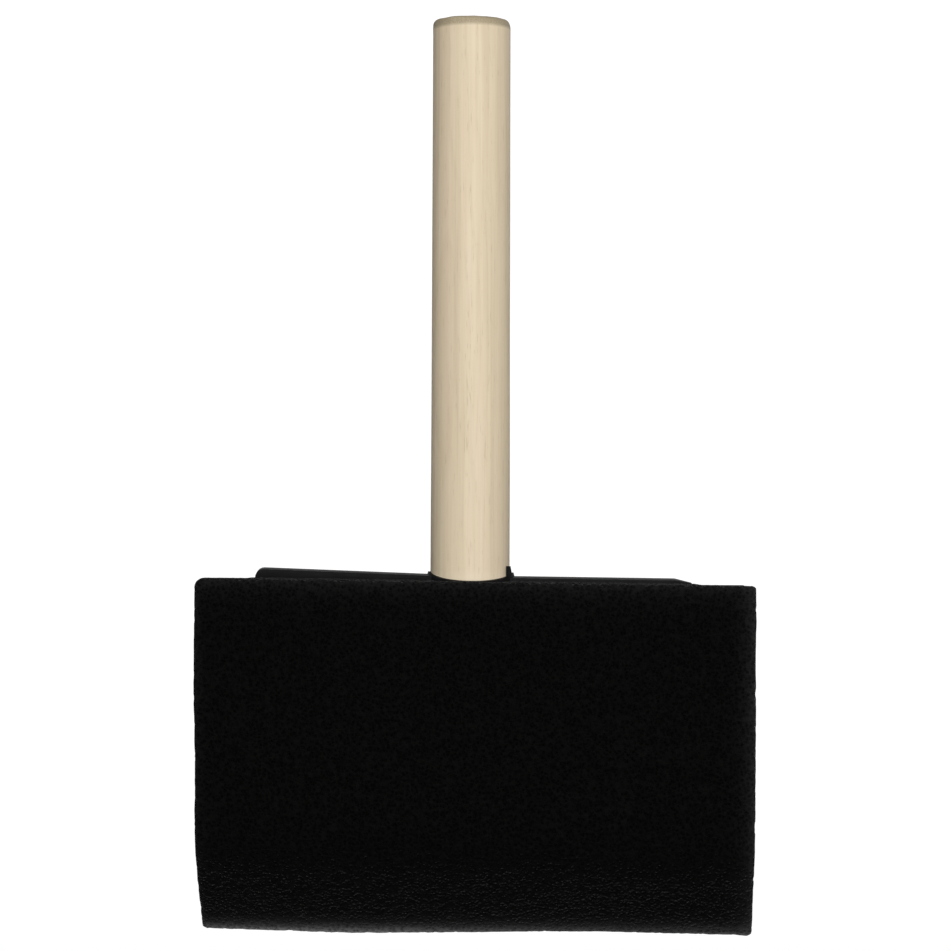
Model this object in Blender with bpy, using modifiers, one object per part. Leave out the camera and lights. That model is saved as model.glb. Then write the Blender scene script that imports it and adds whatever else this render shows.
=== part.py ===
"""Foam sponge brush: a dowel handle, a moulded plastic core and a foam head with a chisel tip.

Metres, +Z up. The brush stands on its tip with its broad front face towards -Y. The origin is the
middle of the foam head's outline, at the height of the lowest point of the tip.
"""

import math

import bmesh
import bpy
from mathutils import Matrix

# Foam head: a 4 inch block, 1 inch thick, whose top and tip are cut a little off square.
FOAM_WIDTH = 0.1016
FOAM_THICKNESS = 0.0254
FOAM_HEIGHT = 0.0643
FOAM_SLOPE = math.tan(math.radians(0.83))  # the cuts fall towards +X
CHISEL_HEIGHT = 0.0150
TIP_THICKNESS = 0.0040
FOAM_EDGE = 0.0009

# Handle: a 9/16 inch dowel with a 1/2 inch tenon.
HANDLE_X = -0.0009  # the foam was glued on slightly off the handle's axis
HANDLE_TOP = 0.1695
DOWEL_RADIUS = 0.00715
TENON_RADIUS = 0.00635
TENON_LENGTH = 0.0230
TENON_CHAMFER = 0.0012
END_ROUND_WIDTH = 0.0009
END_ROUND_HEIGHT = 0.0017
END_CROWN = 0.0003

# Plastic core: flange, collar, socket and blade in one moulding.
FLANGE_LEFT = 0.0396  # from the handle's axis to the flange's square end
FLANGE_RIGHT = 0.0406  # and to its tapered end
FLANGE_DEPTH = 0.0080
FLANGE_LIFT = 0.00125  # ridge above the foam's top at the handle
FLANGE_WARP = 0.0010  # how much taller it is at its left end
FLANGE_TAPER = 0.0030
FLANGE_THIN_SHARE = 0.25  # height left at the very end of the taper
FLANGE_SLOPE = 0.12  # how fast the flange's top falls from its ridge to the front and the back
RIDGE_FLAT = 0.0007  # half the width of the flat along a ridge
FLANGE_OVERLAP = 0.0004  # how far below the ridge the blade and the ribs join it
SEAT_GAP = 0.0003  # between the foam's top and the underside of the flange
COLLAR_RADIUS = 0.0084
COLLAR_TIP_RADIUS = 0.0079
COLLAR_RISE = 0.00065  # the collar's own ridge above the flange's
COLLAR_SLOPE = 0.245  # how fast its rim falls from there to the front and the back
SOCKET_RADIUS = 0.0080
SOCKET_TIP_RADIUS = 0.0074
SOCKET_CORNER = 0.0020
SOCKET_DEPTH = 0.02855  # below the flange's ridge at the handle
SEAT_DEPTH = 0.00375  # how deep the full dowel goes in below the ridge
BLADE_WIDTH = 0.0760
BLADE_TIP_WIDTH = 0.0700
BLADE_THICKNESS = 0.0022
BLADE_TIP_THICKNESS = 0.0012
BLADE_TIP_Z = 0.0220
BLADE_CORNER = 0.0040
RIB_HEIGHT = 0.0010
RIB_WIDTH = 0.0014
RIB_PLACES = (0.0150, 0.0250)  # from the handle's axis, on both sides and both faces
RIB_TIP_Z = 0.0563
FINGER_DEG = 23  # how far forward of the dowel's right side the finger stands
FINGER_WIDTH = 0.0008  # at its foot, from where it narrows to an edge against the dowel
FINGER_EDGE = 0.0002
FINGER_DEPTH = 0.0016
FINGER_HEIGHT = 0.0017

FIT = 0.0003  # gap between neighbouring pieces
GLUE_THICKNESS = 0.0007
GLUE_MARGIN = 0.0052  # from the blade's side edges
GLUE_TIP_Z = 0.0290
PUDDLE_HEIGHT = 0.0010

ROUND_STEPS = 64
CORNER_STEPS = 6
CROWN_STEPS = 2
WELD = 1e-6  # points closer than this are one point
SHARP_DEG = 35  # an edge turning more than this is shaded sharp
CUT_EDGE_DEG = 60  # and one turning more than this is a cut edge of the foam
OVERSHOOT = 0.0040  # how far a cutter reaches past what it cuts

TIP_LIFT = FOAM_SLOPE * FOAM_WIDTH / 2
FOAM_TOP = TIP_LIFT + FOAM_HEIGHT
RIDGE_Z = FOAM_TOP - FOAM_SLOPE * HANDLE_X + FLANGE_LIFT  # at the handle
SEAT_Z = RIDGE_Z - SEAT_DEPTH
SOCKET_BOTTOM = RIDGE_Z - SOCKET_DEPTH
TENON_END = SEAT_Z - TENON_LENGTH
SLOT_HALF = BLADE_THICKNESS / 2 + GLUE_THICKNESS + 2 * FIT


def new_collection(name):
    collection = bpy.data.collections.new(name)
    bpy.context.scene.collection.children.link(collection)
    return collection


def clear_scene():
    for obj in list(bpy.data.objects):
        bpy.data.objects.remove(obj)


def material(name, colour, roughness):
    """A Principled material in one colour, with no metal in it."""
    made = bpy.data.materials.new(name)
    made.use_nodes = True
    shader = made.node_tree.nodes["Principled BSDF"]
    shader.inputs["Base Color"].default_value = (*colour, 1.0)
    shader.inputs["Roughness"].default_value = roughness
    shader.inputs["Metallic"].default_value = 0.0
    return made


def add(name, mesh, collection):
    obj = bpy.data.objects.new(name, mesh)
    collection.objects.link(obj)
    return obj


def hide_cutter(obj):
    obj.hide_render = True
    obj.display_type = "WIRE"
    return obj


def boolean(target, operation, other):
    """Keeps a live Boolean on the target, with the other object as a hidden guide."""
    hide_cutter(other)
    modifier = target.modifiers.new(f"{operation.lower()}_{other.name}", "BOOLEAN")
    modifier.operation = operation
    modifier.solver = "EXACT"
    modifier.object = other


def shade(obj):
    obj.data.shade_smooth()
    obj.data.set_sharp_from_angle(angle=math.radians(SHARP_DEG))


def prism(name, points, half_length, place, collection):
    """A flat outline, drawn as a filled 2D curve, thickened both ways along its own Z, then placed."""
    curve = bpy.data.curves.new(name + "_outline", "CURVE")
    curve.dimensions = "2D"
    curve.fill_mode = "BOTH"
    curve.extrude = half_length
    spline = curve.splines.new("POLY")
    spline.points.add(len(points) - 1)
    for point, (x, y) in zip(spline.points, points):
        point.co = (x, y, 0.0, 1.0)
    spline.use_cyclic_u = True
    source = add(name + "_outline", curve, collection)
    bpy.context.view_layer.update()
    mesh = bpy.data.meshes.new_from_object(
        source.evaluated_get(bpy.context.evaluated_depsgraph_get())
    )
    bpy.data.objects.remove(source)
    weld = bmesh.new()
    weld.from_mesh(mesh)
    bmesh.ops.remove_doubles(weld, verts=weld.verts, dist=WELD)
    weld.to_mesh(mesh)
    weld.free()
    mesh.transform(place)
    return add(name, mesh, collection)


def facing_front():
    """Stands a prism's outline up: outline x to X, outline y to Z, thickness along Y."""
    return Matrix.Rotation(math.radians(90), 4, "X")


def facing_side(x=0.0):
    """Turns a prism's outline to the side: outline x to Y, outline y to Z, thickness along X."""
    turn = Matrix(((0, 0, 1, 0), (1, 0, 0, 0), (0, 1, 0, 0), (0, 0, 0, 1)))
    return Matrix.Translation((x, 0, 0)) @ turn


def foam_level(x):
    """Height of the foam's top, which falls towards +X."""
    return FOAM_TOP - FOAM_SLOPE * x


def ridge_level(x):
    """Height of the flange's ridge. Left of the handle it rises towards the flange's end."""
    warp = FLANGE_WARP * max(0.0, (HANDLE_X - x) / FLANGE_LEFT)
    return foam_level(x) + FLANGE_LIFT + warp


def slope_with_foam():
    """Shears along Z so that a level line falls towards +X as the foam's cuts do."""
    shear = Matrix.Identity(4)
    shear[2][0] = -FOAM_SLOPE
    return shear


def turned(name, profile, collection):
    """A solid of revolution about the handle's axis, from (radius, z) points, top to bottom."""
    mesh = bpy.data.meshes.new(name)
    line = bmesh.new()
    verts = [line.verts.new((radius, 0.0, z)) for radius, z in profile]
    for start, end in zip(verts, verts[1:]):
        line.edges.new((start, end))
    line.to_mesh(mesh)
    line.free()
    obj = add(name, mesh, collection)
    obj.location = (HANDLE_X, 0, 0)
    screw = obj.modifiers.new("turn", "SCREW")
    screw.steps = ROUND_STEPS
    screw.render_steps = ROUND_STEPS
    screw.use_merge_vertices = True
    screw.merge_threshold = WELD
    return obj


def cylinder(name, radius, low, high, collection):
    """An upright cylinder on the handle's axis."""
    mesh = bpy.data.meshes.new(name)
    solid = bmesh.new()
    bmesh.ops.create_cone(
        solid,
        cap_ends=True,
        segments=ROUND_STEPS,
        radius1=radius,
        radius2=radius,
        depth=high - low,
    )
    solid.to_mesh(mesh)
    solid.free()
    obj = add(name, mesh, collection)
    obj.location = (HANDLE_X, 0, (low + high) / 2)
    return obj


def box(name, low, high, collection):
    mesh = bpy.data.meshes.new(name)
    solid = bmesh.new()
    bmesh.ops.create_cube(solid, size=1.0)
    size = [b - a for a, b in zip(low, high)]
    middle = [(a + b) / 2 for a, b in zip(low, high)]
    solid.transform(Matrix.Translation(middle) @ Matrix.Diagonal((*size, 1.0)))
    solid.to_mesh(mesh)
    solid.free()
    return add(name, mesh, collection)


def arc(centre, radius, start_deg, end_deg, steps=CORNER_STEPS):
    """Points along an arc. A pair of radii gives a stretch of an ellipse."""
    across, up = radius if isinstance(radius, tuple) else (radius, radius)
    points = []
    for step in range(steps + 1):
        angle = math.radians(start_deg + (end_deg - start_deg) * step / steps)
        points.append((centre[0] + across * math.cos(angle), centre[1] + up * math.sin(angle)))
    return points


def wooden_handle(parts):
    """The dowel, its softened top edge, and the thinner tenon that the socket holds."""
    end_level = HANDLE_TOP - END_CROWN
    crown_radius = DOWEL_RADIUS - END_ROUND_WIDTH
    profile = []
    for step in range(CROWN_STEPS):
        share = step / CROWN_STEPS
        profile.append((crown_radius * share, HANDLE_TOP - END_CROWN * share**2))
    profile += arc(
        (crown_radius, end_level - END_ROUND_HEIGHT),
        (END_ROUND_WIDTH, END_ROUND_HEIGHT),
        90,
        0,
    )
    profile += [
        (DOWEL_RADIUS, SEAT_Z + FIT),
        (TENON_RADIUS, SEAT_Z + FIT),
        (TENON_RADIUS, TENON_END + TENON_CHAMFER),
        (TENON_RADIUS - TENON_CHAMFER, TENON_END),
        (0.0, TENON_END),
    ]
    handle = turned("wooden_handle", profile, parts)
    shade(handle)
    handle.data.materials.append(material("birch", (0.74, 0.63, 0.44), 0.6))


def roof_outline(half_depth, slope, under):
    """A low gable from the side, with a narrow flat along its ridge, which is at level 0."""
    eave = -slope * (half_depth - RIDGE_FLAT)
    return [
        (-half_depth, under),
        (half_depth, under),
        (half_depth, eave),
        (RIDGE_FLAT, 0.0),
        (-RIDGE_FLAT, 0.0),
        (-half_depth, eave),
    ]


def flange(guides):
    """A loft along X through four sections: square end, handle, start of the taper, thin end."""
    right_end = HANDLE_X + FLANGE_RIGHT
    stations = [
        (HANDLE_X - FLANGE_LEFT, 1.0),
        (HANDLE_X, 1.0),
        (right_end - FLANGE_TAPER, 1.0),
        (right_end, FLANGE_THIN_SHARE),
    ]
    loft = bmesh.new()
    rings = []
    for x, share in stations:
        base = foam_level(x) + SEAT_GAP
        under = base - ridge_level(x)
        section = roof_outline(FLANGE_DEPTH / 2, FLANGE_SLOPE, under)
        rings.append([loft.verts.new((x, y, base + (z - under) * share)) for y, z in section])
    for ring, following in zip(rings, rings[1:]):
        for i in range(len(ring)):
            j = (i + 1) % len(ring)
            loft.faces.new((ring[i], ring[j], following[j], following[i]))
    loft.faces.new(reversed(rings[0]))
    loft.faces.new(rings[-1])
    bmesh.ops.recalc_face_normals(loft, faces=loft.faces)
    mesh = bpy.data.meshes.new("flange")
    loft.to_mesh(mesh)
    loft.free()
    return add("flange", mesh, guides)


def collar(guides):
    """The boss round the dowel. A gable cuts its top, so the rim dips at the front and the back."""
    bottom = SOCKET_BOTTOM + SOCKET_DEPTH / 2
    boss = turned(
        "collar",
        [
            (0.0, RIDGE_Z + OVERSHOOT),
            (COLLAR_TIP_RADIUS, RIDGE_Z + OVERSHOOT),
            (COLLAR_TIP_RADIUS, RIDGE_Z + COLLAR_RISE),
            (COLLAR_RADIUS, RIDGE_Z - FLANGE_LIFT),
            (COLLAR_RADIUS, bottom),
            (0.0, bottom),
        ],
        guides,
    )
    reach = COLLAR_RADIUS + OVERSHOOT
    gable = prism(
        "collar_gable",
        roof_outline(reach, COLLAR_SLOPE, -SOCKET_DEPTH),
        reach,
        Matrix.Translation((0, 0, FOAM_TOP + FLANGE_LIFT + COLLAR_RISE))
        @ slope_with_foam()
        @ facing_side(HANDLE_X),
        guides,
    )
    boolean(boss, "INTERSECT", gable)
    return boss


def socket_tube(guides):
    """The closed tube below the flange, slightly tapered to leave its mould."""
    return turned(
        "socket_tube",
        [
            (0.0, RIDGE_Z - 2 * FLANGE_LIFT),
            (SOCKET_RADIUS, RIDGE_Z - 2 * FLANGE_LIFT),
            *arc(
                (SOCKET_TIP_RADIUS - SOCKET_CORNER, SOCKET_BOTTOM + SOCKET_CORNER),
                SOCKET_CORNER,
                0,
                -90,
            ),
            (0.0, SOCKET_BOTTOM),
        ],
        guides,
    )


def blade_outline():
    """The blade from the front: its top runs inside the flange and its lower corners are round."""
    half_top = BLADE_WIDTH / 2
    half_tip = BLADE_TIP_WIDTH / 2
    low = BLADE_TIP_Z + BLADE_CORNER
    right = arc((half_tip - BLADE_CORNER, low), BLADE_CORNER, 0, -90)
    left = [(-x, z) for x, z in reversed(right)]
    top = [(x, ridge_level(HANDLE_X + x) - FLANGE_OVERLAP) for x in (-half_top, 0.0, half_top)]
    return [*top, *right, *left]


def blade(guides):
    """A flat plate with its front outline, thinned towards the tip by a wedge it is cut with."""
    plate = prism("blade", blade_outline(), BLADE_THICKNESS / 2, facing_front(), guides)
    plate.location.x = HANDLE_X
    root, tip = BLADE_THICKNESS / 2, BLADE_TIP_THICKNESS / 2
    high, low = RIDGE_Z + OVERSHOOT, BLADE_TIP_Z - FIT
    wedge = prism(
        "blade_wedge",
        [(-tip, low), (tip, low), (root, high), (-root, high)],
        BLADE_WIDTH,
        facing_side(HANDLE_X),
        guides,
    )
    boolean(plate, "INTERSECT", wedge)
    return plate


def ribs(guides):
    """Upright stiffening ribs on both faces of the blade, just under the flange."""
    made = []
    half = BLADE_THICKNESS / 2 + RIB_HEIGHT
    for number, place in enumerate((*RIB_PLACES, *(-place for place in RIB_PLACES))):
        x = HANDLE_X + place
        made.append(
            box(
                f"rib_{number + 1}",
                (x - RIB_WIDTH / 2, -half, RIB_TIP_Z),
                (x + RIB_WIDTH / 2, half, ridge_level(x) - FLANGE_OVERLAP),
                guides,
            )
        )
    return made


def finger(guides):
    """A thin upright wedge on the collar that stands by the dowel, forward of its right side."""
    inner = DOWEL_RADIUS + FIT
    low, high = RIDGE_Z - FLANGE_LIFT, RIDGE_Z + FINGER_HEIGHT
    made = prism(
        "finger",
        [(inner, low), (inner + FINGER_WIDTH, low), (inner + FINGER_EDGE, high), (inner, high)],
        FINGER_DEPTH / 2,
        facing_front(),
        guides,
    )
    made.location = (HANDLE_X, 0, 0)
    made.rotation_euler = (0, 0, -math.radians(FINGER_DEG))
    return made


def socket_bore(guides):
    """What is cut out of the core for the dowel: a shallow seat and the tenon's bore under it."""
    seat_radius = DOWEL_RADIUS + FIT
    bore_radius = TENON_RADIUS + FIT
    floor = TENON_END - PUDDLE_HEIGHT - 2 * FIT
    return turned(
        "socket_bore",
        [
            (0.0, RIDGE_Z + OVERSHOOT),
            (seat_radius, RIDGE_Z + OVERSHOOT),
            (seat_radius, SEAT_Z),
            (bore_radius, SEAT_Z),
            (bore_radius, floor),
            (0.0, floor),
        ],
        guides,
    )


def plastic_core(parts, guides):
    """Flange, collar, socket, blade and ribs joined into one moulding, then bored for the dowel."""
    core = flange(guides)
    core.name = "plastic_core"
    guides.objects.unlink(core)
    parts.objects.link(core)
    for piece in (collar(guides), socket_tube(guides), blade(guides), *ribs(guides)):
        boolean(core, "UNION", piece)
    boolean(core, "DIFFERENCE", socket_bore(guides))
    boolean(core, "UNION", finger(guides))
    shade(core)
    core.data.materials.append(material("black_plastic", (0.012, 0.012, 0.012), 0.4))


def foam_outline():
    """The head from the side: parallel faces, two bevels and a blunt rounded tip."""
    half = FOAM_THICKNESS / 2
    tip = TIP_THICKNESS / 2
    rise = CHISEL_HEIGHT - tip
    bevel_deg = math.degrees(math.atan2(rise, half) + math.asin(tip / math.hypot(rise, half)))
    nose = arc((0.0, tip), tip, bevel_deg - 90, -bevel_deg - 90, 2 * CORNER_STEPS)
    return [
        (half, FOAM_HEIGHT),
        (half, CHISEL_HEIGHT),
        *nose,
        (-half, CHISEL_HEIGHT),
        (-half, FOAM_HEIGHT),
    ]


def foam_slot(guides):
    """The slit that takes the blade and its adhesive, a little larger than they are."""
    outline = [
        (BLADE_WIDTH / 2 + FIT, FOAM_TOP + OVERSHOOT),
        (BLADE_TIP_WIDTH / 2 + FIT, BLADE_TIP_Z - FIT),
        (-BLADE_TIP_WIDTH / 2 - FIT, BLADE_TIP_Z - FIT),
        (-BLADE_WIDTH / 2 - FIT, FOAM_TOP + OVERSHOOT),
    ]
    slot = prism("foam_slot", outline, SLOT_HALF, facing_front(), guides)
    slot.location.x = HANDLE_X
    return slot


def rib_slot(guides):
    """The upper slit is wider, where it passes the blade's ribs."""
    half = BLADE_THICKNESS / 2 + RIB_HEIGHT + FIT
    reach = max(RIB_PLACES) + RIB_WIDTH
    return box(
        "rib_slot",
        (HANDLE_X - reach, -half, RIB_TIP_Z - FIT),
        (HANDLE_X + reach, half, FOAM_TOP + OVERSHOOT),
        guides,
    )


def foam_socket(guides):
    """The hollow that the foam is spread into by the socket tube and the collar."""
    collar_bottom = SOCKET_BOTTOM + SOCKET_DEPTH / 2 - FIT
    return turned(
        "foam_socket",
        [
            (0.0, FOAM_TOP + OVERSHOOT),
            (COLLAR_RADIUS + FIT, FOAM_TOP + OVERSHOOT),
            (COLLAR_RADIUS + FIT, collar_bottom),
            (SOCKET_RADIUS + FIT, collar_bottom),
            (SOCKET_TIP_RADIUS + FIT, SOCKET_BOTTOM - FIT),
            (0.0, SOCKET_BOTTOM - FIT),
        ],
        guides,
    )


def foam_head(parts, guides):
    """The foam block, sheared to its sloping cuts, with the slit and the hollow open at its top."""
    head = prism(
        "foam_head",
        foam_outline(),
        FOAM_WIDTH / 2,
        Matrix.Translation((0, 0, TIP_LIFT)) @ slope_with_foam() @ facing_side(),
        parts,
    )
    soften = head.modifiers.new("cut_edges", "BEVEL")
    soften.width = FOAM_EDGE
    soften.segments = 2
    soften.limit_method = "ANGLE"
    soften.angle_limit = math.radians(CUT_EDGE_DEG)
    for cutter in (foam_slot(guides), rib_slot(guides), foam_socket(guides)):
        boolean(head, "DIFFERENCE", cutter)
    shade(head)
    head.data.materials.append(material("black_foam", (0.005, 0.005, 0.005), 0.95))


def blade_glue(side, parts):
    """A bead of hot-melt adhesive along one face of the blade: side is -1 for front, +1 for back."""
    name = "blade_glue_front" if side < 0 else "blade_glue_back"
    middle = side * (BLADE_THICKNESS / 2 + FIT + GLUE_THICKNESS / 2)
    half_width = BLADE_TIP_WIDTH / 2 - GLUE_MARGIN
    half_thick = GLUE_THICKNESS / 2
    return box(
        name,
        (HANDLE_X - half_width, middle - half_thick, GLUE_TIP_Z),
        (HANDLE_X + half_width, middle + half_thick, SOCKET_BOTTOM - FIT),
        parts,
    )


def socket_glue(parts):
    """The puddle of adhesive between the tenon's end and the socket's floor."""
    return cylinder(
        "socket_glue",
        TENON_RADIUS - TENON_CHAMFER,
        TENON_END - PUDDLE_HEIGHT - FIT,
        TENON_END - FIT,
        parts,
    )


def build():
    clear_scene()
    parts = new_collection("foam_sponge_brush")
    guides = new_collection("guides")
    wooden_handle(parts)
    plastic_core(parts, guides)
    foam_head(parts, guides)
    adhesive = material("adhesive", (0.72, 0.62, 0.42), 0.35)
    for bead in (blade_glue(-1, parts), blade_glue(1, parts), socket_glue(parts)):
        shade(bead)
        bead.data.materials.append(adhesive)


build()
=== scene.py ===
"""Looks for the foam sponge brush: foam, birch dowel, moulded core and adhesive on white."""

import math

import bmesh
import bpy
import numpy as np
from mathutils import Matrix, Vector, noise


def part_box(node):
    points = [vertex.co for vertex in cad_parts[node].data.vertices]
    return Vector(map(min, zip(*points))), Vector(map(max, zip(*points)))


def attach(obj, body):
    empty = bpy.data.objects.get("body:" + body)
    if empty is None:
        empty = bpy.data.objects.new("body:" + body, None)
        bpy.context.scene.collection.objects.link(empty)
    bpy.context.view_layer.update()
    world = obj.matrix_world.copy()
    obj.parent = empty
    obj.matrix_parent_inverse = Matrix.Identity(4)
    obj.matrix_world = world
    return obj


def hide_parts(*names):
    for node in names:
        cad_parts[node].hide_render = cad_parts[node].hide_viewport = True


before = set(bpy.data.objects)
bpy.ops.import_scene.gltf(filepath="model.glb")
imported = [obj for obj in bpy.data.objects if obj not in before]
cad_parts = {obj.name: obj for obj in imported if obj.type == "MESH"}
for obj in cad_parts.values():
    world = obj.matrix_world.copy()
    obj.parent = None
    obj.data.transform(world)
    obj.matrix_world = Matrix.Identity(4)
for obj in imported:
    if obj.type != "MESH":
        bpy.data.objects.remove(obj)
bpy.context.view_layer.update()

MM = 0.001
MM_PER_METRE = 1000
FOAM_LOW, FOAM_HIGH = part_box("foam_head")
CORE_LOW, CORE_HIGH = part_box("plastic_core")
HANDLE_LOW, HANDLE_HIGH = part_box("wooden_handle")
HANDLE_X = (HANDLE_LOW.x + HANDLE_HIGH.x) / 2
DOWEL_RADIUS = (HANDLE_HIGH.x - HANDLE_LOW.x) / 2

# The foam head as it was cut.
FOAM_WIDTH = FOAM_HIGH.x - FOAM_LOW.x
FOAM_HALF_DEPTH = (FOAM_HIGH.y - FOAM_LOW.y) / 2
FOAM_SLOPE = math.tan(math.radians(0.83))
TIP_LIFT = FOAM_SLOPE * FOAM_WIDTH / 2
FOAM_TOP = FOAM_HIGH.z - TIP_LIFT
CHISEL_HEIGHT = 15.0 * MM
TIP_RADIUS = 2.0 * MM
SHOULDER_ROUND = 5.0 * MM
CORNERS = {"top_left": 1.6 * MM, "low_left": 1.0 * MM, "low_right": 0.6 * MM}

# Its net of small faces, and the steps of its rounded stretches.
FOAM_VOXEL = 0.47 * MM
FOAM_EDGE = 0.5 * MM
FOAM_EDGE_ANGLE = 60  # degrees, from which an edge is rounded
SHOULDER_STEPS = 8
TIP_STEPS = 6

# How far it bends and swells, and at which heights over the tip.
TIP_LEAN = 0.33 * MM  # sideways
TIP_WAVE = 0.40 * MM
TIP_WAVE_FADE = (1 * MM, 22 * MM)
LEFT_SWELL = 0.12 * MM
LEFT_SWELL_LEVEL = 48 * MM
LEFT_SWELL_SPREAD = 14 * MM
LEFT_TAPER = 0.35 * MM
LEFT_TAPER_TOP = 45 * MM
RIGHT_TAPER = 0.45 * MM
RIGHT_TAPER_TOP = 62 * MM
SOCKET_SWELL = 0.45 * MM
SOCKET_SWELL_SPREAD = 11 * MM
SOCKET_SWELL_RISE = (28 * MM, 56 * MM)
BLADE_SWELL = 0.3 * SOCKET_SWELL
BLADE_SWELL_RISE = (18 * MM, 34 * MM)
BLADE_SWELL_FADE = (0.62, 0.92)  # shares of the head's half width

# Its skin. Each relief is a height, a size across and a noise seed.
PUFF = 0.13 * MM
BROAD_LUMPS = (0.13 * MM, 14 * MM, 3.1)
SMALL_LUMPS = (0.07 * MM, 4.5 * MM, 8.4)
GRIT = (0.05 * MM, 1.1 * MM, 5.7)
PORE_SPACING = 1.25 * MM
PORE_DEPTH = 0.26 * MM
PORE_SIZE = (0.30, 0.30)  # the least and what varies, as shares of the spacing
PORE_SHARE = (0.35, 0.65)  # the same for the depth, as shares of it
PORE_KIND_SCALE = 7.3

# How strongly painted light brightens each cut edge of the foam, standing in for the lamp and the
# floor's bounce catching it, and how deep in millimetres.
PAINTED_EDGE_LIGHT = {"tip": (0.20, 0.68), "top": (0.007, 1.6), "right": (0.016, 1.3), "left": (0.004, 0.8)}
# The pore colour is painted shade inside the open cells; the wall colour is the foam's own.
FOAM_PORE_SHADE_COLOUR = (0.0003, 0.0003, 0.0003)
FOAM_WALL_COLOUR = (0.0036, 0.0036, 0.0035)

# The core's hollow in the foam.
SLIT_HALF_WIDTH = 38.3 * MM
SLIT_TIP_HALF_WIDTH = 35.3 * MM
SLIT_HALF_GAP = 2.4 * MM
SLIT_LOW = 21.7 * MM
SOCKET_RADIUS = 8.7 * MM
SOCKET_LOW = 37.4 * MM
SOCKET_SEGMENTS = 64
CUT_ABOVE = 4 * MM

# The core's flange, and the foam's top under it.
FLANGE_END_ROUND = 1.6 * MM
FLANGE_END_LIFT = 0.4 * MM  # over the foam, where the rounded edges begin
FLANGE_HALF_DEPTH = 4.0 * MM
CORE_EDGE = 0.16 * MM
FLANGE_SEAT = 0.32 * MM  # how far the foam swells up to it
SEAT_FADE_ACROSS = (0.6 * MM, 3 * MM)  # past the flange's front and back
SEAT_FADE_ALONG = (0.4 * MM, 2 * MM)  # past its ends
SEAT_FADE_DOWN = (0.8 * MM, 0.1 * MM)  # below the foam's top

# The handle's rounded end, its real thickness and lean, and its steps below the flange.
END_ROUND_WIDTH = 0.9 * MM
END_ROUND_HEIGHT = 1.7 * MM
END_CROWN = 0.3 * MM
SHAFT_TOP = HANDLE_HIGH.z - END_CROWN - END_ROUND_HEIGHT
END_SQUARENESS = 4.5  # the rounding is a superellipse on the left and an ellipse on the right
END_SQUARE_FROM = (-0.4, 0.8)  # shares of the radius towards the left
DOWEL_TOP_SCALE = 1.0065  # its real thickness over the nominal one
DOWEL_FOOT_SCALE = 1.022
DOWEL_TOP_LEAN = 0.24 * MM  # sideways
DOWEL_FOOT_LEAN = -0.11 * MM
SEAT_LEVEL = 62.85 * MM
SEAT_DROP = 0.02 * MM
SEAT_FILLET = 0.1 * MM
TENON_RADIUS = 6.35 * MM
TENON_CHAMFER = 1.2 * MM
CROWN_STEPS, ROUND_STEPS, SHAFT_STEPS, TENON_STEPS = 12, 14, 190, 8
DOWEL_SEGMENTS = 160

# Its worked surface: a height, a size across, a noise seed and a stretch along each axis.
FIBRE_RELIEF = (0.010 * MM, 1.0 * MM, 2.2, (1, 1, 40))
SANDING_RELIEF = (0.035 * MM, 9.0 * MM, 4.4, (1, 1, 3))
CHIP_RELIEF = (0.09 * MM, 2.2 * MM, 9.9)
CHIP_BAND = (3.0 * MM, 0.6 * MM)  # below its top

# Birch, in millimetres and in colours.
TREE_CENTRE = (34.0, 21.0)
RINGS_PER_MM = 0.55
RING_DRIFT = 9.0
BIRCH_TINTS = (
    (0.32, (0.62, 0.50, 0.345)),
    (0.50, (0.69, 0.575, 0.40)),
    (0.62, (0.70, 0.565, 0.405)),
    (0.75, (0.735, 0.63, 0.455)),
)
LATE_WOOD_COLOUR = (0.50, 0.37, 0.22)
FIBRE_COLOUR = (0.80, 0.71, 0.55)
WOOD_PORE_COLOUR = (0.42, 0.31, 0.19)
# The dark end band is partly the end grain's own colour and partly painted shade on the upward-facing
# rounded top.
END_GRAIN_AND_SHADE_COLOURS = ((0.35, (0.29, 0.235, 0.15)), (0.65, (0.40, 0.34, 0.23)))
END_GRAIN_AND_SHADE_BAND = (2.2, 1.6)  # below its top
# The paler band over the seat is painted light: the bounce from below brightening the dowel there.
FOOT_PAINTED_LIGHT_COLOUR = (0.80, 0.72, 0.56)
FOOT_PAINTED_LIGHT_BAND = (3.0, 4.6)  # above its seat

# The adhesive's beads.
BEAD_CUTS = 5
BEAD_SMOOTHING = 2
BEAD_WOBBLE = 5 * MM
BEAD_SQUEEZE = (0.06, 0.05, 0.12)
BEAD_SEED_STEP = 1.7

# The stage, in metres: a white bowl, a lamp, and cards that dim the bowl's light.
FLOOR_LEVEL = -0.0004
FLOOR_RADII = (0.02, 0.05, 0.1, 0.2, 0.4, 0.7, 1.0)
BEND_RADIUS = 0.8
BEND_STEPS = 16
WALL_TOP = 1.3
BOWL_SEGMENTS = 96
BOWL_COLOUR = (0.12, 0.12, 0.12)
KEY_PLACE = (0.10, -0.95, 0.10)
KEY_AIM = (0, 0, 0.085)
KEY_SIZE = 0.35
KEY_POWER = 7.6
CARDS = {  # two opposite corners, and how brightly each card glows
    "flag_left": ((-0.221, -0.40, 0.002), (-0.22, 0.45, 0.6), 0.18),
    "flag_right": ((0.22, -0.40, 0.002), (0.221, 0.45, 0.6), 0.30),
    "flag_front": ((-0.20, -0.42, 0.0005), (0.20, -0.004, 0.0015), 0.0),
}
WORLD_STRENGTH = 0.12

CAMERA_PLACE = (0.0, -0.600, 0.066)
CAMERA_TILT = 1.792  # degrees
CAMERA_LENS = 122.8
CAMERA_SENSOR = 36.0


# ---------------------------------------------------------------- meshes


def link(obj):
    bpy.context.scene.collection.objects.link(obj)
    return obj


def object_from(solid, name):
    """A linked object with the bmesh as its mesh."""
    mesh = bpy.data.meshes.new(name)
    solid.to_mesh(mesh)
    solid.free()
    return link(bpy.data.objects.new(name, mesh))


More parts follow.
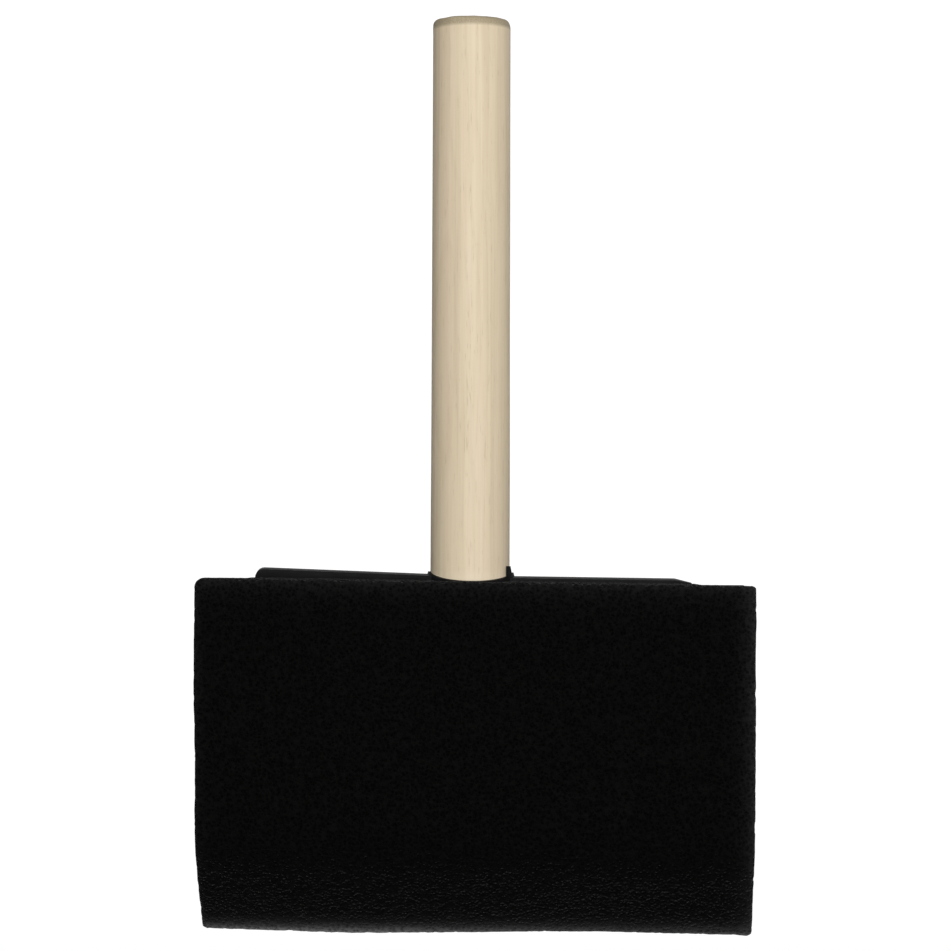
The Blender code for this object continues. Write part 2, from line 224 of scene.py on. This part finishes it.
def apply_modifiers(obj):
    """Turns the object's evaluated mesh into its own mesh."""
    bpy.context.view_layer.update()
    graph = bpy.context.evaluated_depsgraph_get()
    mesh = bpy.data.meshes.new_from_object(obj.evaluated_get(graph))
    obj.modifiers.clear()
    obj.data = mesh
    mesh.name = obj.name
    return obj


def round_edges(obj, width, angle):
    """Adds a bevel along the edges that turn by more than the angle, in degrees."""
    soften = obj.modifiers.new("edges", "BEVEL")
    soften.width = width
    soften.segments = 3
    soften.limit_method = "ANGLE"
    soften.angle_limit = math.radians(angle)


def coordinates(mesh):
    points = np.zeros(len(mesh.vertices) * 3)
    mesh.vertices.foreach_get("co", points)
    return points.reshape(-1, 3)


def set_coordinates(mesh, points):
    mesh.vertices.foreach_set("co", points.ravel())
    mesh.update()


def normals(mesh):
    values = np.zeros(len(mesh.vertices) * 3)
    mesh.vertex_normals.foreach_get("vector", values)
    return values.reshape(-1, 3)


def smoothstep(values, low, high):
    share = np.clip((values - low) / (high - low), 0.0, 1.0)
    return share * share * (3 - 2 * share)


def noise_field(points, size, seed, stretch=(1, 1, 1)):
    """Smooth noise from about -1 to 1 whose lumps are about size across."""
    scaled = points / (size * np.array(stretch)) + seed
    return np.array([noise.noise(Vector(point)) for point in scaled])


def relief(points, height, size, seed, stretch=(1, 1, 1)):
    """How far each point stands out of an uneven surface."""
    return height * noise_field(points, size, seed, stretch)


def shares(steps):
    """The ends of equal steps from 0 to 1."""
    return [step / steps for step in range(1, steps + 1)]


def add_rings(solid, rows, segments, axis_x=0.0):
    """Adds a ring of points for each (radius, z) row, and the faces between the rings."""
    rings = []
    for radius, z in rows:
        ring = []
        for step in range(segments):
            angle = 2 * math.pi * step / segments
            place = (axis_x + radius * math.cos(angle), radius * math.sin(angle), z)
            ring.append(solid.verts.new(place))
        rings.append(ring)
    for upper, lower in zip(rings, rings[1:]):
        for step in range(segments):
            after = (step + 1) % segments
            solid.faces.new((upper[step], lower[step], lower[after], upper[after]))
    return rings


def lathe(name, rows, segments, axis_x):
    """A closed turned object from (radius, z) rows, top first. The end rows are its poles."""
    solid = bmesh.new()
    rings = add_rings(solid, rows[1:-1], segments, axis_x)
    first = solid.verts.new((axis_x, 0, rows[0][1]))
    last = solid.verts.new((axis_x, 0, rows[-1][1]))
    for step in range(segments):
        after = (step + 1) % segments
        solid.faces.new((first, rings[0][step], rings[0][after]))
        solid.faces.new((last, rings[-1][after], rings[-1][step]))
    return object_from(solid, name)


def add_sides(solid, first, second):
    """Adds the faces between two loops with as many points each."""
    for i in range(len(first)):
        j = (i + 1) % len(first)
        solid.faces.new((first[i], first[j], second[j], second[i]))


def box_solid(low, high, cuts=0):
    """A bmesh box between two corners, each edge cut a number of times."""
    solid = bmesh.new()
    bmesh.ops.create_cube(solid, size=1.0)
    if cuts:
        bmesh.ops.subdivide_edges(solid, edges=solid.edges, cuts=cuts, use_grid_fill=True)
    size = Vector(high) - Vector(low)
    middle = (Vector(low) + Vector(high)) / 2
    solid.transform(Matrix.Translation(middle) @ Matrix.Diagonal((*size, 1.0)))
    return solid


# ---------------------------------------------------------------- materials


def grey(level):
    return (level, level, level)


class Nodes:
    """Short hand for building one material's node tree."""

    def __init__(self, name):
        self.material = bpy.data.materials.new(name)
        self.material.use_nodes = True
        self.tree = self.material.node_tree
        self.shader = self.tree.nodes["Principled BSDF"]

    def node(self, kind, **settings):
        made = self.tree.nodes.new(kind)
        for key, value in settings.items():
            setattr(made, key, value)
        return made

    def join(self, source, target):
        self.tree.links.new(source, target)

    def feed(self, socket, value):
        """Sets a socket to a number or a colour, or joins another socket to it."""
        if isinstance(value, (int, float)):
            socket.default_value = value
        elif isinstance(value, tuple):
            socket.default_value = (*value, 1.0)
        else:
            self.join(value, socket)

    def set(self, **values):
        for key, value in values.items():
            self.feed(self.shader.inputs[key.replace("_", " ")], value)

    def place(self, scale=(1, 1, 1)):
        """Object coordinates in millimetres, scaled."""
        where = self.node("ShaderNodeTexCoord")
        mapping = self.node("ShaderNodeMapping")
        mapping.inputs["Scale"].default_value = [MM_PER_METRE * value for value in scale]
        self.join(where.outputs["Object"], mapping.inputs["Vector"])
        return mapping.outputs["Vector"]

    def split(self, vector):
        made = self.node("ShaderNodeSeparateXYZ")
        self.join(vector, made.inputs["Vector"])
        return made.outputs["X"], made.outputs["Y"], made.outputs["Z"]

    def noise(self, vector, scale, detail=3.0, roughness=0.55, distortion=0.0, output="Fac"):
        made = self.node("ShaderNodeTexNoise")
        made.inputs["Scale"].default_value = scale
        made.inputs["Detail"].default_value = detail
        made.inputs["Roughness"].default_value = roughness
        made.inputs["Distortion"].default_value = distortion
        self.join(vector, made.inputs["Vector"])
        return made.outputs[output]

    def streaks(self, scale, **settings):
        """Noise with its own number of lumps per millimetre along each axis."""
        return self.noise(self.place(scale), 1.0, **settings)

    def cells(self, vector, scale):
        """Distance to the middle of the nearest cell."""
        made = self.node("ShaderNodeTexVoronoi")
        made.inputs["Scale"].default_value = scale
        self.join(vector, made.inputs["Vector"])
        return made.outputs["Distance"]

    def ramp(self, value, stops):
        made = self.node("ShaderNodeValToRGB")
        elements = made.color_ramp.elements
        while len(elements) < len(stops):
            elements.new(0.5)
        for element, (position, colour) in zip(elements, stops):
            element.position = position
            element.color = (*colour, 1.0)
        self.join(value, made.inputs["Fac"])
        return made.outputs["Color"]

    def span(self, value, from_low, from_high, to_low, to_high):
        made = self.node("ShaderNodeMapRange")
        limits = (from_low, from_high, to_low, to_high)
        for key, limit in zip(("From Min", "From Max", "To Min", "To Max"), limits):
            made.inputs[key].default_value = limit
        self.join(value, made.inputs["Value"])
        return made.outputs["Result"]

    def math(self, operation, *values):
        made = self.node("ShaderNodeMath", operation=operation)
        for socket, value in zip(made.inputs, values):
            self.feed(socket, value)
        return made.outputs["Value"]

    def mix(self, share, first, second, blend="MIX"):
        made = self.node("ShaderNodeMix", data_type="RGBA", blend_type=blend)
        # Among the node's sockets for every data type, these are the colour's.
        for index, value in ((0, share), (6, first), (7, second)):
            self.feed(made.inputs[index], value)
        return made.outputs[2]

    def bump(self, height, distance, strength, under=None):
        """A normal with small relief, laid over the relief of another normal."""
        made = self.node("ShaderNodeBump")
        made.inputs["Strength"].default_value = strength
        made.inputs["Distance"].default_value = distance
        self.join(height, made.inputs["Height"])
        if under is not None:
            self.join(under, made.inputs["Normal"])
        return made.outputs["Normal"]


def painted_edge_light(made, walls):
    """Painted light along the cut edges, where they catch the lamp and the floor's bounce, most of
    all along the tip.
    """
    x, _, z = made.split(made.place())
    level = made.math("ADD", z, made.math("MULTIPLY", x, FOAM_SLOPE))
    depths = {
        "tip": level,
        "top": made.math("SUBTRACT", FOAM_TOP / MM, level),
        "right": made.math("SUBTRACT", FOAM_HIGH.x / MM, x),
        "left": made.math("SUBTRACT", x, FOAM_LOW.x / MM),
    }
    total = None
    for edge, (strength, reach) in PAINTED_EDGE_LIGHT.items():
        depth = made.math("MAXIMUM", depths[edge], 0.0)
        fade = made.math("EXPONENT", made.math("MULTIPLY", depth, -1 / reach))
        share = made.math("MULTIPLY", fade, strength)
        total = share if total is None else made.math("ADD", total, share)
    light = made.math("MULTIPLY", total, made.span(walls, 0.0, 1.0, 0.45, 1.35))
    colour = made.node("ShaderNodeCombineColor")
    for channel in ("Red", "Green", "Blue"):
        made.join(light, colour.inputs[channel])
    return colour.outputs["Color"]


def foam_material():
    """Open-cell polyurethane foam: painted shade in the pores between slightly lighter cell walls,
    and painted light along the cut edges.
    """
    made = Nodes("black_foam")
    where = made.place()
    patches = made.noise(where, 0.9, detail=2.0)
    walls = made.span(made.cells(where, 1.55), 0.1, 0.75, 0.0, 1.0)
    fine_walls = made.span(made.cells(where, 3.4), 0.1, 0.7, 0.0, 1.0)
    coarse_share = made.math("MULTIPLY", walls, 0.6)
    fine_share = made.math("MULTIPLY", fine_walls, 0.4)
    both = made.math("ADD", coarse_share, fine_share)
    # Darker cell middles are painted shade in the open pores.
    shade = made.ramp(both, [(0.1, FOAM_PORE_SHADE_COLOUR), (0.75, FOAM_WALL_COLOUR)])
    patch = made.ramp(patches, [(0.35, grey(0.75)), (0.7, grey(1.1))])
    colour = made.mix(1.0, shade, patch, "MULTIPLY")
    # Painted light along the cut edges is added to the foam's colour here.
    colour = made.mix(1.0, colour, painted_edge_light(made, walls), "ADD")
    under = made.bump(fine_walls, 0.12 * MM, 0.6)
    made.set(
        Base_Color=colour,
        Roughness=0.96,
        Specular_IOR_Level=0.02,
        Sheen_Weight=0.045,
        Sheen_Roughness=0.32,
        Normal=made.bump(walls, 0.35 * MM, 0.75, under),
    )
    return made.material


def growth_rings(made):
    """Growth lines round the tree's own centre, which wander slowly along the dowel."""
    wander = made.node("ShaderNodeVectorMath", operation="SCALE")
    wander.inputs["Scale"].default_value = RING_DRIFT
    drift = made.streaks((0.05, 0.05, 0.012), detail=2.0, roughness=0.5, output="Color")
    made.join(drift, wander.inputs[0])
    moved = made.node("ShaderNodeVectorMath", operation="ADD")
    made.join(made.place(), moved.inputs[0])
    made.join(wander.outputs["Vector"], moved.inputs[1])
    x, y, _ = made.split(moved.outputs["Vector"])
    across = made.math("ADD", x, TREE_CENTRE[0])
    deep = made.math("ADD", y, TREE_CENTRE[1])
    squares = [made.math("MULTIPLY", value, value) for value in (across, deep)]
    radius = made.math("SQRT", made.math("ADD", *squares))
    ring = made.math("FRACT", made.math("MULTIPLY", radius, RINGS_PER_MM))
    return made.ramp(ring, [(0.0, grey(0)), (0.72, grey(0.25)), (0.93, grey(1)), (1.0, grey(0))])


def dowel_bands(made, grain):
    """The grain's colour, with a darker end that is partly end grain and partly painted shade on the
    upward-facing top, and a slightly paler band of painted light just over the seat.
    """
    _, _, z = made.split(made.place())
    top = HANDLE_HIGH.z / MM
    seat = SEAT_LEVEL / MM
    start, full = END_GRAIN_AND_SHADE_BAND
    # The top band darkens partly as end grain and partly as painted shade where the rounded top faces
    # up.
    end = made.span(z, top - start, top - full, 0.0, 1.0)
    end_grain_and_shade = made.ramp(made.streaks((5.0, 5.0, 5.0)), END_GRAIN_AND_SHADE_COLOURS)
    colour = made.mix(made.math("MULTIPLY", end, 0.85), grain, end_grain_and_shade)
    # The paler band near the seat is painted light from below.
    full, start = FOOT_PAINTED_LIGHT_BAND
    foot = made.span(z, seat + full, seat + start, 1.0, 0.0)
    return made.mix(made.math("MULTIPLY", foot, 0.25), colour, FOOT_PAINTED_LIGHT_COLOUR)


def wood_material():
    """Pale birch: growth lines, fibre and short pores along the grain, a darker end that is partly
    end grain and partly painted shade, and a paler band of painted light just over the seat.
    """
    made = Nodes("birch_wood")
    fibre = made.streaks((2.6, 2.6, 0.05), detail=5.0, roughness=0.65)
    tint = made.ramp(made.streaks((0.55, 0.55, 0.012)), BIRCH_TINTS)
    pores = made.span(made.streaks((4.2, 4.2, 0.28), detail=2.0), 0.30, 0.37, 1.0, 0.0)
    grain = made.mix(made.math("MULTIPLY", growth_rings(made), 0.16), tint, LATE_WOOD_COLOUR)
    grain = made.mix(made.span(fibre, 0.35, 0.7, 0.0, 0.30), grain, FIBRE_COLOUR)
    grain = made.mix(made.math("MULTIPLY", pores, 0.30), grain, WOOD_PORE_COLOUR)
    under = made.bump(fibre, 0.05 * MM, 0.5)
    made.set(
        Base_Color=dowel_bands(made, grain),
        Roughness=made.span(fibre, 0.3, 0.7, 0.62, 0.50),
        Specular_IOR_Level=0.30,
        Normal=made.bump(pores, -0.05 * MM, 0.6, under),
    )
    return made.material


def plastic_material():
    """Black polystyrene straight from the mould: satin, with faint flow marks and scuffs."""
    made = Nodes("black_plastic")
    flow = made.streaks((0.12, 0.5, 0.5), detail=4.0, distortion=0.6)
    scuff = made.streaks((0.8, 3.5, 3.5), detail=5.0)
    dust = made.noise(made.place(), 3.0, detail=2.0)
    base = made.ramp(flow, [(0.3, (0.006, 0.006, 0.0063)), (0.7, (0.011, 0.011, 0.0115))])
    made.set(
        Base_Color=made.mix(made.span(dust, 0.66, 0.78, 0.0, 0.35), base, (0.06, 0.058, 0.052)),
        Roughness=made.span(scuff, 0.35, 0.7, 0.42, 0.60),
        Specular_IOR_Level=0.03,
        Normal=made.bump(scuff, 0.03 * MM, 0.35, made.bump(flow, 0.15 * MM, 0.4)),
    )
    return made.material


def glue_material():
    """Hot-melt adhesive: amber, waxy and slightly cloudy."""
    made = Nodes("hot_melt")
    cloud = made.noise(made.place(), 0.5, detail=4.0)
    made.set(
        Base_Color=made.ramp(cloud, [(0.3, (0.62, 0.48, 0.27)), (0.7, (0.78, 0.69, 0.48))]),
        Roughness=made.span(cloud, 0.3, 0.7, 0.22, 0.42),
        Subsurface_Weight=0.35,
        Subsurface_Scale=0.002,
        Normal=made.bump(cloud, 0.2 * MM, 0.4),
    )
    return made.material


def glowing_material(name, colour, strength):
    """A matt surface that gives off an even white light."""
    made = Nodes(name)
    made.set(
        Base_Color=colour,
        Roughness=1.0,
        Specular_IOR_Level=0.0,
        Emission_Color=(1.0, 1.0, 1.0),
        Emission_Strength=strength,
    )
    return made.material


# ---------------------------------------------------------------- foam head


def chisel_outline():
    """(y, z) points round the head's side view: a block whose knees ease into a round tip."""
    rise = CHISEL_HEIGHT - TIP_RADIUS
    slant = math.atan2(rise, FOAM_HALF_DEPTH)
    slant += math.asin(TIP_RADIUS / math.hypot(rise, FOAM_HALF_DEPTH))
    up = (FOAM_HALF_DEPTH, CHISEL_HEIGHT + SHOULDER_ROUND)
    knee = (FOAM_HALF_DEPTH, CHISEL_HEIGHT)
    down = (
        FOAM_HALF_DEPTH - SHOULDER_ROUND * math.cos(slant),
        CHISEL_HEIGHT - SHOULDER_ROUND * math.sin(slant),
    )
    outline = [(FOAM_HALF_DEPTH, FOAM_TOP - TIP_LIFT), up]
    for share in shares(SHOULDER_STEPS):
        outline.append(
            tuple(
                (1 - share) ** 2 * a + 2 * share * (1 - share) * b + share**2 * c
                for a, b, c in zip(up, knee, down)
            )
        )
    for step in range(TIP_STEPS + 1):
        angle = slant - math.pi / 2 - slant * step / TIP_STEPS
        outline.append((TIP_RADIUS * math.cos(angle), TIP_RADIUS + TIP_RADIUS * math.sin(angle)))
    return outline + [(-y, z) for y, z in reversed(outline[:-1])]


def chisel_block():
    """The head before its surface is worked: its outline swept across its width and sheared."""
    solid = bmesh.new()
    left, right = (
        [solid.verts.new((x, y, z + TIP_LIFT - FOAM_SLOPE * x)) for y, z in chisel_outline()]
        for x in (FOAM_LOW.x, FOAM_HIGH.x)
    )
    add_sides(solid, left, right)
    solid.faces.new(left)
    solid.faces.new(reversed(right))
    bmesh.ops.recalc_face_normals(solid, faces=solid.faces)
    return object_from(solid, "foam_head_skin")


def even_mesh(obj):
    """Rounds the long edges, then lays an even net of small faces over the whole block."""
    round_edges(obj, FOAM_EDGE, FOAM_EDGE_ANGLE)
    net = obj.modifiers.new("net", "REMESH")
    net.mode = "VOXEL"
    net.voxel_size = FOAM_VOXEL
    net.use_smooth_shade = True
    return apply_modifiers(obj)


def bend_and_swell(points):
    """Broad shape: a fuller left side, tapers, a wavy tip, and a soft swelling over the core."""
    x, y, z = points.T
    level = z + FOAM_SLOPE * x
    half_width = FOAM_WIDTH / 2
    to_left = smoothstep(-x, 0.0, half_width)
    to_right = smoothstep(x, 0.0, half_width)
    swell = to_left * np.exp(-(((level - LEFT_SWELL_LEVEL) / LEFT_SWELL_SPREAD) ** 2))
    left_taper = to_left * np.clip((LEFT_TAPER_TOP - level) / LEFT_TAPER_TOP, 0, 1)
    right_taper = to_right * np.clip((RIGHT_TAPER_TOP - level) / RIGHT_TAPER_TOP, 0, 1)
    new_x = x - LEFT_SWELL * swell - RIGHT_TAPER * right_taper + LEFT_TAPER * left_taper
    new_x += TIP_LEAN * (1 - smoothstep(level, 0.0, CHISEL_HEIGHT))
    near_tip = 1 - smoothstep(level, *TIP_WAVE_FADE)
    new_z = z + TIP_WAVE * np.sin(2 * math.pi * x / FOAM_WIDTH) * near_tip
    over_socket = np.exp(-(((x - HANDLE_X) / SOCKET_SWELL_SPREAD) ** 2))
    over_socket *= smoothstep(level, *SOCKET_SWELL_RISE)
    over_blade = smoothstep(level, *BLADE_SWELL_RISE)
    over_blade *= 1 - smoothstep(np.abs(x) / half_width, *BLADE_SWELL_FADE)
    swell = SOCKET_SWELL * over_socket + BLADE_SWELL * over_blade
    return np.column_stack((new_x, y * (1 + swell / FOAM_HALF_DEPTH), new_z))


def round_corners(points):
    """Rounds corners of the head's front outline, each by its own radius. The fourth stays square."""
    x, y, z = points.T.copy()
    top = FOAM_TOP - FOAM_SLOPE * x
    bottom = TIP_LIFT - FOAM_SLOPE * x
    places = {
        "top_left": (x - FOAM_LOW.x, top - z, 1, -1),
        "low_left": (x - FOAM_LOW.x, z - bottom, 1, 1),
        "low_right": (FOAM_HIGH.x - x, z - bottom, -1, 1),
    }
    for corner, radius in CORNERS.items():
        across, along, sign_x, sign_z = places[corner]
        inside = (across < radius) & (along < radius)
        left, down = radius - across, radius - along
        reach = np.maximum(np.hypot(left, down), 1e-9)
        pull = np.where(inside & (reach > radius), 1 - radius / reach, 0.0)
        x = x + sign_x * left * pull
        z = z + sign_z * down * pull
    return np.column_stack((x, y, z))


def pore_depths(points):
    """How deep each point lies in a cut cell, as a share. The smaller a cell, the shallower."""
    depths = np.zeros(len(points))
    least_size, more_size = PORE_SIZE
    least_share, more_share = PORE_SHARE
    for index, point in enumerate(points / PORE_SPACING):
        distances, centres = noise.voronoi(Vector(point))
        kind = abs(noise.cell(centres[0] * PORE_KIND_SCALE))
        size = least_size + more_size * kind
        bowl = max(0.0, 1 - (distances[0] / size) ** 2)
        depths[index] = bowl * (least_share + more_share * kind)
    return depths


def against_flange(points):
    """Lets the foam's top rise against the flange's underside."""
    x, y, z = points.T.copy()
    top = FOAM_TOP - FOAM_SLOPE * x
    near, far = SEAT_FADE_ACROSS
    under = 1 - smoothstep(np.abs(y), FLANGE_HALF_DEPTH + near, FLANGE_HALF_DEPTH + far)
    near, far = SEAT_FADE_ALONG
    between = smoothstep(x, CORE_LOW.x - far, CORE_LOW.x - near)
    between *= 1 - smoothstep(x, CORE_HIGH.x + near, CORE_HIGH.x + far)
    deep, shallow = SEAT_FADE_DOWN
    share = between * under * smoothstep(z, top - deep, top - shallow)
    return np.column_stack((x, y, z + share * (top + FLANGE_SEAT - z)))


def foam_head():
    head = even_mesh(chisel_block())
    points = round_corners(bend_and_swell(coordinates(head.data)))
    set_coordinates(head.data, points)
    out = normals(head.data)
    lumps = relief(points, *BROAD_LUMPS) + relief(points, *SMALL_LUMPS)
    depth = PUFF + lumps + relief(points, *GRIT) - PORE_DEPTH * pore_depths(points)
    set_coordinates(head.data, against_flange(points + out * depth[:, None]))
    open_slit(head)
    head.data.shade_smooth()
    return head


def slit_cutter(high):
    """The blade's room: a flat wedge that is narrower at its tip."""
    solid = bmesh.new()
    low_ring, high_ring = (
        [
            solid.verts.new((HANDLE_X + half_x * a, SLIT_HALF_GAP * b, z))
            for a, b in ((-1, -1), (1, -1), (1, 1), (-1, 1))
        ]
        for half_x, z in ((SLIT_TIP_HALF_WIDTH, SLIT_LOW), (SLIT_HALF_WIDTH, high))
    )
    add_sides(solid, low_ring, high_ring)
    solid.faces.new(reversed(low_ring))
    solid.faces.new(high_ring)
    return object_from(solid, "slit")


def open_slit(head):
    """Cuts the hollow that the core fills, open at the head's top."""
    high = FOAM_HIGH.z + CUT_ABOVE
    socket_rows = [(0, high), (SOCKET_RADIUS, high), (SOCKET_RADIUS, SOCKET_LOW), (0, SOCKET_LOW)]
    cutters = (slit_cutter(high), lathe("hollow", socket_rows, SOCKET_SEGMENTS, HANDLE_X))
    for cutter in cutters:
        cut = head.modifiers.new(cutter.name, "BOOLEAN")
        cut.operation = "DIFFERENCE"
        cut.solver = "EXACT"
        cut.object = cutter
    apply_modifiers(head)
    for cutter in cutters:
        bpy.data.objects.remove(cutter)


# ---------------------------------------------------------------- handle


def handle_rows():
    """(radius, z) rows of the dowel from its top down, close together where its shape turns."""
    top, low = HANDLE_HIGH.z, HANDLE_LOW.z
    flat = DOWEL_RADIUS - END_ROUND_WIDTH
    rows = [(0.0, top)]
    for share in shares(CROWN_STEPS):
        rows.append((flat * share, top - END_CROWN * share**2))
    for share in shares(ROUND_STEPS):
        angle = math.pi / 2 * (1 - share)
        out, up = END_ROUND_WIDTH * math.cos(angle), END_ROUND_HEIGHT * math.sin(angle)
        rows.append((flat + out, SHAFT_TOP + up))
    for share in shares(SHAFT_STEPS):
        rows.append((DOWEL_RADIUS, SHAFT_TOP + (SEAT_LEVEL - SHAFT_TOP) * share))
    rows.append((TENON_RADIUS + SEAT_FILLET, SEAT_LEVEL - SEAT_DROP))
    for share in shares(TENON_STEPS):
        rows.append((TENON_RADIUS, SEAT_LEVEL + (low + TENON_CHAMFER - SEAT_LEVEL) * share))
    return rows + [(TENON_RADIUS - TENON_CHAMFER, low), (0.0, low)]


def worked_end(points):
    """Squares the rounded edge towards the left, then tapers and leans the dowel a little."""
    x, y, z = points.T.copy()
    x -= HANDLE_X
    radius = np.maximum(np.hypot(x, y), 1e-9)
    across = (radius - DOWEL_RADIUS + END_ROUND_WIDTH) / END_ROUND_WIDTH
    up = (z - SHAFT_TOP) / END_ROUND_HEIGHT
    rim = (across > 0) & (up > 0)
    across, up = np.where(rim, across, 1.0), np.where(rim, up, 0.0)
    power = 2.0 + (END_SQUARENESS - 2.0) * smoothstep(-x / DOWEL_RADIUS, *END_SQUARE_FROM)
    grow = np.where(rim, (across**power + up**power) ** (-1 / power), 1.0)
    wide = DOWEL_RADIUS + END_ROUND_WIDTH * (across * grow - 1)
    scale = np.where(rim, wide / radius, 1.0)
    z = np.where(rim, SHAFT_TOP + END_ROUND_HEIGHT * up * grow, z)
    down = np.clip((HANDLE_HIGH.z - z) / (HANDLE_HIGH.z - SEAT_LEVEL), 0.0, 1.0)
    in_sight = z > SEAT_LEVEL - SEAT_DROP / 2
    thickness = DOWEL_TOP_SCALE + (DOWEL_FOOT_SCALE - DOWEL_TOP_SCALE) * down
    scale = scale * np.where(in_sight, thickness, 1.0)
    lean = np.where(in_sight, DOWEL_TOP_LEAN + (DOWEL_FOOT_LEAN - DOWEL_TOP_LEAN) * down, 0.0)
    return np.column_stack((HANDLE_X + x * scale + lean, y * scale, z))


def handle():
    """The dowel, a little out of round, with sanded grain and an end softened by hand."""
    dowel = lathe("handle_dowel", handle_rows(), DOWEL_SEGMENTS, HANDLE_X)
    points = worked_end(coordinates(dowel.data))
    set_coordinates(dowel.data, points)
    points = coordinates(dowel.data)
    out = normals(dowel.data)
    start, full = CHIP_BAND
    rim = smoothstep(points[:, 2], HANDLE_HIGH.z - start, HANDLE_HIGH.z - full)
    move = relief(points, *FIBRE_RELIEF) + relief(points, *SANDING_RELIEF)
    move += rim * relief(points, *CHIP_RELIEF)
    set_coordinates(dowel.data, points + out * move[:, None])
    dowel.data.shade_smooth()
    return dowel


# ---------------------------------------------------------------- core and adhesive


def round_left_end(solid):
    """Rounds the upper edges of the flange's left end, where the mould wore."""
    left = min(vert.co.x for vert in solid.verts) + 0.05 * MM
    low = FOAM_HIGH.z + FLANGE_END_LIFT
    worn = [
        edge
        for edge in solid.edges
        if all(vert.co.x < left and vert.co.z > low for vert in edge.verts)
    ]
    bmesh.ops.bevel(
        solid, geom=worn, offset=FLANGE_END_ROUND, segments=5, profile=0.5, affect="EDGES"
    )


def core():
    """A copy of the CAD core whose flat faces are whole again and whose edges are rounded."""
    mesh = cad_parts["plastic_core"].data.copy()
    solid = bmesh.new()
    solid.from_mesh(mesh)
    bmesh.ops.remove_doubles(solid, verts=solid.verts, dist=1e-6)
    flat_within = math.radians(0.5)
    bmesh.ops.dissolve_limit(
        solid, angle_limit=flat_within, verts=solid.verts, edges=solid.edges
    )
    round_left_end(solid)
    solid.to_mesh(mesh)
    solid.free()
    copy = link(bpy.data.objects.new("core_moulding", mesh))
    round_edges(copy, CORE_EDGE, 30)
    apply_modifiers(copy)
    copy.data.shade_smooth()
    copy.data.set_sharp_from_angle(angle=math.radians(45))
    return copy


def glue_bead(name, node, seed):
    """A squeezed bead of adhesive: soft edges and an uneven outline inside the CAD bead's box."""
    low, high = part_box(node)
    bead = object_from(box_solid(low, high, BEAD_CUTS), name)
    smooth = bead.modifiers.new("soft", "SUBSURF")
    smooth.levels = smooth.render_levels = BEAD_SMOOTHING
    apply_modifiers(bead)
    points = coordinates(bead.data)
    wobble = noise_field(points, BEAD_WOBBLE, seed)
    middle = np.array((low + high) / 2)
    inward = (middle - points) * np.array(BEAD_SQUEEZE)
    set_coordinates(bead.data, points + inward * (0.5 + 0.5 * wobble)[:, None])
    bead.data.shade_smooth()
    return bead


# ---------------------------------------------------------------- stage, lights, camera


def sweep():
    """A white bowl: a flat floor that curves up into a wall all round."""
    floor_radius = FLOOR_RADII[-1]
    rows = [(radius, FLOOR_LEVEL) for radius in FLOOR_RADII]
    for share in shares(BEND_STEPS):
        angle = math.pi / 2 * share
        out, up = BEND_RADIUS * math.sin(angle), BEND_RADIUS * (1 - math.cos(angle))
        rows.append((floor_radius + out, FLOOR_LEVEL + up))
    rows.append((floor_radius + BEND_RADIUS, WALL_TOP))
    solid = bmesh.new()
    centre = solid.verts.new((0, 0, FLOOR_LEVEL))
    inner = add_rings(solid, rows, BOWL_SEGMENTS)[0]
    for step in range(BOWL_SEGMENTS):
        solid.faces.new((centre, inner[step], inner[(step + 1) % BOWL_SEGMENTS]))
    bowl = object_from(solid, "sweep")
    bowl.data.shade_smooth()
    bowl.data.materials.append(glowing_material("white_sweep", BOWL_COLOUR, 1.0))


def card(name, low, high, glow):
    """A card out of the camera's sight that dims the bowl's light on one side of the brush."""
    made = object_from(box_solid(low, high), name)
    made.data.materials.append(glowing_material(name, grey(0.0), glow))
    made.visible_camera = False


def key_light():
    data = bpy.data.lights.new("key", "AREA")
    data.shape = "DISK"
    data.size = KEY_SIZE
    data.energy = KEY_POWER
    lamp = link(bpy.data.objects.new("key", data))
    lamp.location = KEY_PLACE
    aim = Vector(KEY_AIM) - Vector(KEY_PLACE)
    lamp.rotation_euler = aim.to_track_quat("-Z", "Y").to_euler()
    lamp.visible_camera = False


def lights():
    key_light()
    for name, (low, high, glow) in CARDS.items():
        card(name, low, high, glow)
    world = bpy.data.worlds.new("dim_room")
    world.use_nodes = True
    background = world.node_tree.nodes["Background"]
    background.inputs["Color"].default_value = (1, 1, 1, 1)
    background.inputs["Strength"].default_value = WORLD_STRENGTH
    bpy.context.scene.world = world
    bpy.context.scene.view_settings.view_transform = "Standard"


def camera():
    """Level with the foam's top and 0.6 m away, tilted up a little to take in the handle."""
    data = bpy.data.cameras.new("camera")
    data.lens = CAMERA_LENS
    data.sensor_width = CAMERA_SENSOR
    view = link(bpy.data.objects.new("camera", data))
    view.location = CAMERA_PLACE
    view.rotation_euler = (math.radians(90 + CAMERA_TILT), 0, 0)
    bpy.context.scene.camera = view


def finished(piece, material, slot_name, *nodes):
    """Gives a piece its material and ties it to the frame."""
    piece.data.materials.clear()
    piece.data.materials.append(material)
    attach(piece, "root")
    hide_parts(*nodes)
    return piece


camera()
lights()
sweep()
adhesive = glue_material()
finished(handle(), wood_material(), "birch_wood", "wooden_handle")
finished(core(), plastic_material(), "black_plastic", "plastic_core")
foam = finished(foam_head(), foam_material(), "black_foam", "foam_head")
for number, node in enumerate(("blade_glue_front", "blade_glue_back", "socket_glue")):
    finished(glue_bead(node + "_bead", node, BEAD_SEED_STEP * number), adhesive, "hot_melt", node)
